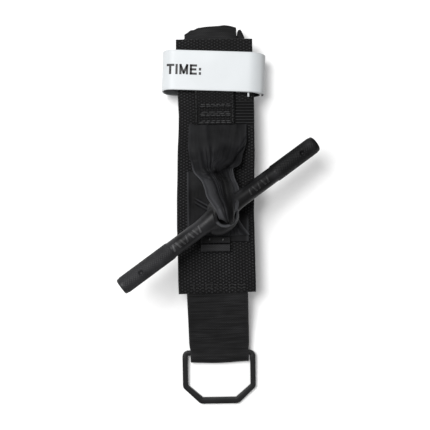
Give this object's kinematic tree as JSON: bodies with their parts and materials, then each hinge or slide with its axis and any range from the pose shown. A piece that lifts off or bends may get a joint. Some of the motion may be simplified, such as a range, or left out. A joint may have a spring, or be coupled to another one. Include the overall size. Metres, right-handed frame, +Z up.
{
  "type": "windlass tourniquet",
  "caption": "Folded windlass tourniquet: webbing base, ribbon gathered through the eye of a windlass rod, lock ring on its strap, slide buckle and white writing band.",
  "frame": {"origin": "on the table, in the middle of the folded object's outline seen from above", "axes": "+Y runs along the fold from the lock ring to the writing band, +Z points up out of the table, +X is to the right seen from above"},
  "size_m": [0.097, 0.1906, 0.0412],
  "materials": {
    "webbing": "coarse black nylon webbing with light flecks",
    "strap": "fine black webbing",
    "ribbon": "smooth satin ribbon",
    "thread": "bonded sewing thread",
    "rod": "black, satin, knurled ends",
    "ring": "moulded, smooth with bevelled edges",
    "metal": "black coated steel",
    "band": "smooth white write-on tape",
    "fastener": "white hook and loop"
  },
  "bodies": {
    "root": {"base_webbing": "webbing", "upper_anchor": "webbing", "lower_anchor": "webbing", "main_strap": "strap", "buckle_strap": "strap", "ring_strap_sewn_top": "strap", "ring_strap_sewn_under": "strap", "ribbon_flat_run": "ribbon", "ribbon_upper_run": "ribbon", "ribbon_lower_run": "ribbon", "upper_anchor_stitch": "thread", "lower_anchor_stitch": "thread", "ring_strap_stitch": "thread", "buckle_strap_stitch": "thread", "slide_buckle": "metal", "writing_band": "band", "band_loop_patch": "fastener"},
    "ribbon_twist": {"ribbon_throat": "ribbon"},
    "windlass": {"windlass": "rod"},
    "ring_strap": {"ring_strap": "strap"},
    "lock_ring": {"lock_ring": "ring"},
    "band_flap": {"band_flap": "band", "band_hook_patch": "fastener"}
  },
  "joints": [
    {"name": "windlass_turn", "type": "hinge", "parent": "root", "child": "ribbon_twist", "pos_m": [0.00121, 0.00227, 0.03064], "axis": [0, 0, 1], "continuous": true, "deforming": ["ribbon_upper_run", "ribbon_lower_run"]},
    {"name": "windlass_rock", "type": "hinge", "parent": "ribbon_twist", "child": "windlass", "pos_m": [0.00121, 0.00227, 0.03064], "axis": [0.5855, -0.8107, 0], "range_deg": [0, 12], "deforming": ["ribbon_throat"]},
    {"name": "ring_strap_lift", "type": "hinge", "parent": "root", "child": "ring_strap", "pos_m": [-0.00195, -0.039, 0.0129], "axis": [-0.9998, -0.0209, 0], "range_deg": [0, 75]},
    {"name": "ring_swing", "type": "hinge", "parent": "ring_strap", "child": "lock_ring", "pos_m": [-0.0016, -0.0696, 0.0028], "axis": [-0.9998, -0.0209, 0], "range_deg": [-150, 150]},
    {"name": "band_peel", "type": "hinge", "parent": "root", "child": "band_flap", "pos_m": [0.01179, 0.07011, 0.0197], "axis": [-0.0419, -0.9991, 0], "range_deg": [0, 100]}
  ]
}
